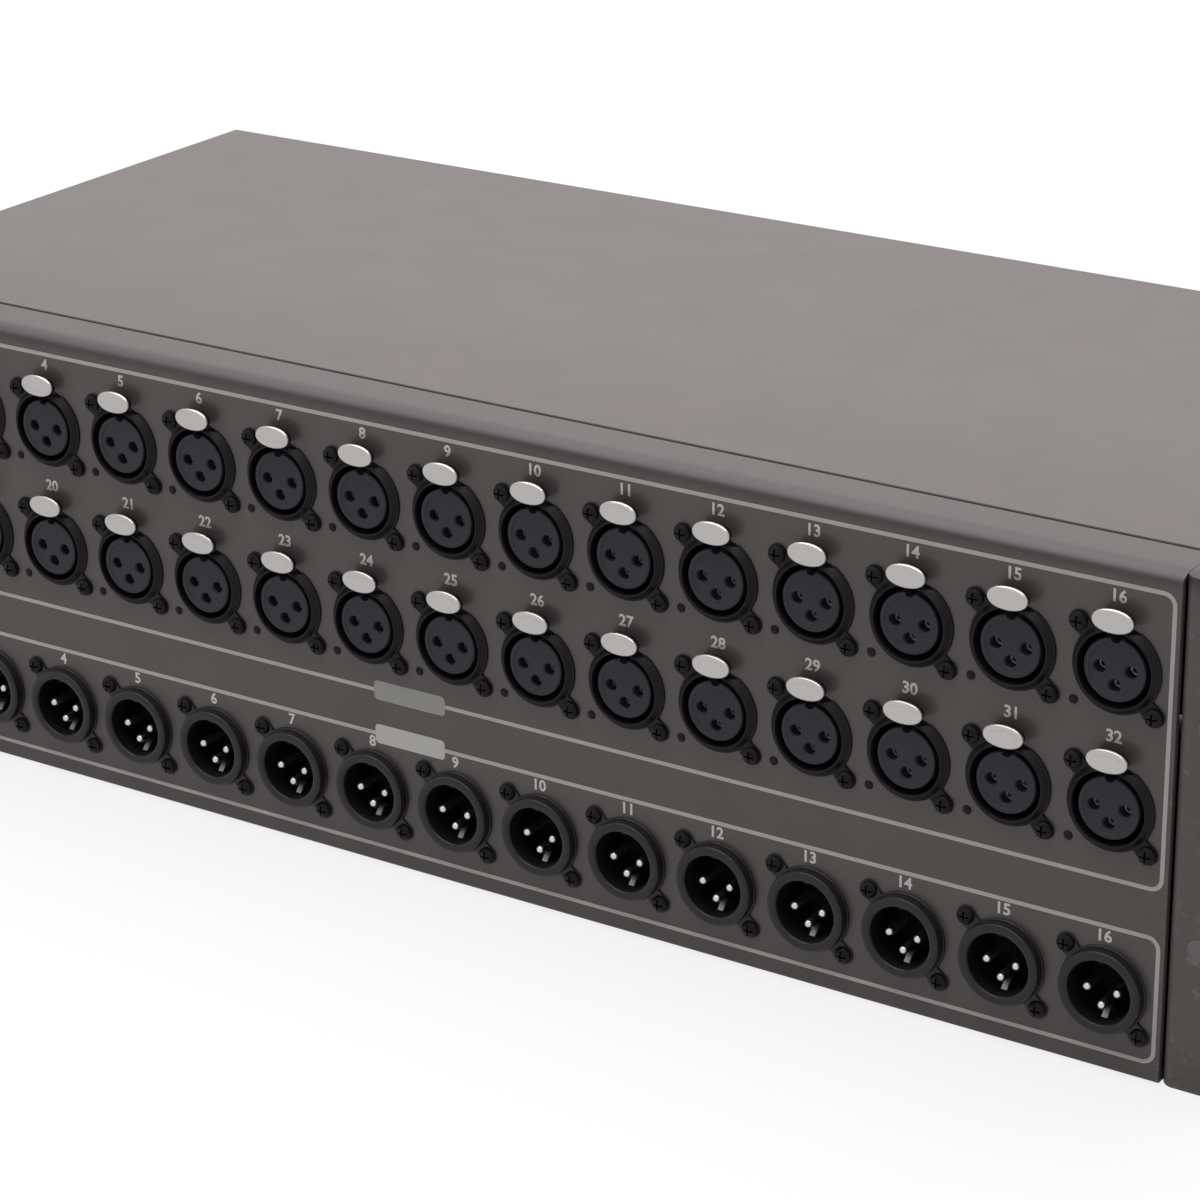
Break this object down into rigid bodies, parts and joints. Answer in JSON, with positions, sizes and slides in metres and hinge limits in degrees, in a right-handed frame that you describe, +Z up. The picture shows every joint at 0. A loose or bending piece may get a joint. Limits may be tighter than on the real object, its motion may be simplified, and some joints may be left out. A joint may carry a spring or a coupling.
{
  "type": "stage box",
  "caption": "Rack-mount stage box: rows of push-latched input sockets over a row of output plugs on a folded steel front, with multipin connectors at the back.",
  "frame": {"origin": "centre of the case's underside", "axes": "+X to the right seen from the front, +Y from the front panel into the case, +Z up"},
  "size_m": [0.4826, 0.2232, 0.1325],
  "materials": {
    "case_paint": "satin powder coat, dark warm grey",
    "connector_black": "satin black",
    "insert_grey": "matte dark grey",
    "latch_nickel": "satin nickel plate",
    "contact_silver": "bright silver plate",
    "multipin_shell": "satin anodised",
    "insulator_black": "matte black",
    "loom_black": "matte black sleeve",
    "bracket_zinc": "bright zinc plate",
    "screw_black": "black zinc plate"
  },
  "bodies": {
    "case": {"front_panel": "case_paint", "top_cover": "case_paint", "base_pan": "case_paint", "rear_panel": "case_paint", "rack_ear_left": "case_paint", "rack_ear_right": "case_paint", "upper_input_housings": "connector_black", "lower_input_housings": "connector_black", "output_housings": "connector_black", "upper_insert_board": "insert_grey", "lower_insert_board": "insert_grey", "output_pin_board": "contact_silver", "input_multipin_shell": "multipin_shell", "input_multipin_insulator": "insulator_black", "output_multipin_shell": "multipin_shell", "output_multipin_insulator": "insulator_black", "upper_input_loom": "loom_black", "lower_input_loom": "loom_black", "output_loom": "loom_black", "loom_bridge": "bracket_zinc", "cover_screw_right_1": "screw_black", "cover_screw_right_2": "screw_black", "cover_screw_right_3": "screw_black", "cover_screw_left_1": "screw_black", "cover_screw_left_2": "screw_black", "cover_screw_left_3": "screw_black"},
    "latch_01": {"latch_01": "latch_nickel"},
    "latch_02": {"latch_02": "latch_nickel"},
    "latch_03": {"latch_03": "latch_nickel"},
    "latch_04": {"latch_04": "latch_nickel"},
    "latch_05": {"latch_05": "latch_nickel"},
    "latch_06": {"latch_06": "latch_nickel"},
    "latch_07": {"latch_07": "latch_nickel"},
    "latch_08": {"latch_08": "latch_nickel"},
    "latch_09": {"latch_09": "latch_nickel"},
    "latch_10": {"latch_10": "latch_nickel"},
    "latch_11": {"latch_11": "latch_nickel"},
    "latch_12": {"latch_12": "latch_nickel"},
    "latch_13": {"latch_13": "latch_nickel"},
    "latch_14": {"latch_14": "latch_nickel"},
    "latch_15": {"latch_15": "latch_nickel"},
    "latch_16": {"latch_16": "latch_nickel"},
    "latch_17": {"latch_17": "latch_nickel"},
    "latch_18": {"latch_18": "latch_nickel"},
    "latch_19": {"latch_19": "latch_nickel"},
    "latch_20": {"latch_20": "latch_nickel"},
    "latch_21": {"latch_21": "latch_nickel"},
    "latch_22": {"latch_22": "latch_nickel"},
    "latch_23": {"latch_23": "latch_nickel"},
    "latch_24": {"latch_24": "latch_nickel"},
    "latch_25": {"latch_25": "latch_nickel"},
    "latch_26": {"latch_26": "latch_nickel"},
    "latch_27": {"latch_27": "latch_nickel"},
    "latch_28": {"latch_28": "latch_nickel"},
    "latch_29": {"latch_29": "latch_nickel"},
    "latch_30": {"latch_30": "latch_nickel"},
    "latch_31": {"latch_31": "latch_nickel"},
    "latch_32": {"latch_32": "latch_nickel"}
  },
  "joints": [
    {"name": "latch_01_push", "type": "slide", "parent": "case", "child": "latch_01", "axis": [0, 1, 0], "range_m": [0, 0.0017], "stiffness_N_per_m": 800, "springref_m": -0.001},
    {"name": "latch_02_push", "type": "slide", "parent": "case", "child": "latch_02", "axis": [0, 1, 0], "range_m": [0, 0.0017], "stiffness_N_per_m": 800, "springref_m": -0.001},
    {"name": "latch_03_push", "type": "slide", "parent": "case", "child": "latch_03", "axis": [0, 1, 0], "range_m": [0, 0.0017], "stiffness_N_per_m": 800, "springref_m": -0.001},
    {"name": "latch_04_push", "type": "slide", "parent": "case", "child": "latch_04", "axis": [0, 1, 0], "range_m": [0, 0.0017], "stiffness_N_per_m": 800, "springref_m": -0.001},
    {"name": "latch_05_push", "type": "slide", "parent": "case", "child": "latch_05", "axis": [0, 1, 0], "range_m": [0, 0.0017], "stiffness_N_per_m": 800, "springref_m": -0.001},
    {"name": "latch_06_push", "type": "slide", "parent": "case", "child": "latch_06", "axis": [0, 1, 0], "range_m": [0, 0.0017], "stiffness_N_per_m": 800, "springref_m": -0.001},
    {"name": "latch_07_push", "type": "slide", "parent": "case", "child": "latch_07", "axis": [0, 1, 0], "range_m": [0, 0.0017], "stiffness_N_per_m": 800, "springref_m": -0.001},
    {"name": "latch_08_push", "type": "slide", "parent": "case", "child": "latch_08", "axis": [0, 1, 0], "range_m": [0, 0.0017], "stiffness_N_per_m": 800, "springref_m": -0.001},
    {"name": "latch_09_push", "type": "slide", "parent": "case", "child": "latch_09", "axis": [0, 1, 0], "range_m": [0, 0.0017], "stiffness_N_per_m": 800, "springref_m": -0.001},
    {"name": "latch_10_push", "type": "slide", "parent": "case", "child": "latch_10", "axis": [0, 1, 0], "range_m": [0, 0.0017], "stiffness_N_per_m": 800, "springref_m": -0.001},
    {"name": "latch_11_push", "type": "slide", "parent": "case", "child": "latch_11", "axis": [0, 1, 0], "range_m": [0, 0.0017], "stiffness_N_per_m": 800, "springref_m": -0.001},
    {"name": "latch_12_push", "type": "slide", "parent": "case", "child": "latch_12", "axis": [0, 1, 0], "range_m": [0, 0.0017], "stiffness_N_per_m": 800, "springref_m": -0.001},
    {"name": "latch_13_push", "type": "slide", "parent": "case", "child": "latch_13", "axis": [0, 1, 0], "range_m": [0, 0.0017], "stiffness_N_per_m": 800, "springref_m": -0.001},
    {"name": "latch_14_push", "type": "slide", "parent": "case", "child": "latch_14", "axis": [0, 1, 0], "range_m": [0, 0.0017], "stiffness_N_per_m": 800, "springref_m": -0.001},
    {"name": "latch_15_push", "type": "slide", "parent": "case", "child": "latch_15", "axis": [0, 1, 0], "range_m": [0, 0.0017], "stiffness_N_per_m": 800, "springref_m": -0.001},
    {"name": "latch_16_push", "type": "slide", "parent": "case", "child": "latch_16", "axis": [0, 1, 0], "range_m": [0, 0.0017], "stiffness_N_per_m": 800, "springref_m": -0.001},
    {"name": "latch_17_push", "type": "slide", "parent": "case", "child": "latch_17", "axis": [0, 1, 0], "range_m": [0, 0.0017], "stiffness_N_per_m": 800, "springref_m": -0.001},
    {"name": "latch_18_push", "type": "slide", "parent": "case", "child": "latch_18", "axis": [0, 1, 0], "range_m": [0, 0.0017], "stiffness_N_per_m": 800, "springref_m": -0.001},
    {"name": "latch_19_push", "type": "slide", "parent": "case", "child": "latch_19", "axis": [0, 1, 0], "range_m": [0, 0.0017], "stiffness_N_per_m": 800, "springref_m": -0.001},
    {"name": "latch_20_push", "type": "slide", "parent": "case", "child": "latch_20", "axis": [0, 1, 0], "range_m": [0, 0.0017], "stiffness_N_per_m": 800, "springref_m": -0.001},
    {"name": "latch_21_push", "type": "slide", "parent": "case", "child": "latch_21", "axis": [0, 1, 0], "range_m": [0, 0.0017], "stiffness_N_per_m": 800, "springref_m": -0.001},
    {"name": "latch_22_push", "type": "slide", "parent": "case", "child": "latch_22", "axis": [0, 1, 0], "range_m": [0, 0.0017], "stiffness_N_per_m": 800, "springref_m": -0.001},
    {"name": "latch_23_push", "type": "slide", "parent": "case", "child": "latch_23", "axis": [0, 1, 0], "range_m": [0, 0.0017], "stiffness_N_per_m": 800, "springref_m": -0.001},
    {"name": "latch_24_push", "type": "slide", "parent": "case", "child": "latch_24", "axis": [0, 1, 0], "range_m": [0, 0.0017], "stiffness_N_per_m": 800, "springref_m": -0.001},
    {"name": "latch_25_push", "type": "slide", "parent": "case", "child": "latch_25", "axis": [0, 1, 0], "range_m": [0, 0.0017], "stiffness_N_per_m": 800, "springref_m": -0.001},
    {"name": "latch_26_push", "type": "slide", "parent": "case", "child": "latch_26", "axis": [0, 1, 0], "range_m": [0, 0.0017], "stiffness_N_per_m": 800, "springref_m": -0.001},
    {"name": "latch_27_push", "type": "slide", "parent": "case", "child": "latch_27", "axis": [0, 1, 0], "range_m": [0, 0.0017], "stiffness_N_per_m": 800, "springref_m": -0.001},
    {"name": "latch_28_push", "type": "slide", "parent": "case", "child": "latch_28", "axis": [0, 1, 0], "range_m": [0, 0.0017], "stiffness_N_per_m": 800, "springref_m": -0.001},
    {"name": "latch_29_push", "type": "slide", "parent": "case", "child": "latch_29", "axis": [0, 1, 0], "range_m": [0, 0.0017], "stiffness_N_per_m": 800, "springref_m": -0.001},
    {"name": "latch_30_push", "type": "slide", "parent": "case", "child": "latch_30", "axis": [0, 1, 0], "range_m": [0, 0.0017], "stiffness_N_per_m": 800, "springref_m": -0.001},
    {"name": "latch_31_push", "type": "slide", "parent": "case", "child": "latch_31", "axis": [0, 1, 0], "range_m": [0, 0.0017], "stiffness_N_per_m": 800, "springref_m": -0.001},
    {"name": "latch_32_push", "type": "slide", "parent": "case", "child": "latch_32", "axis": [0, 1, 0], "range_m": [0, 0.0017], "stiffness_N_per_m": 800, "springref_m": -0.001}
  ]
}
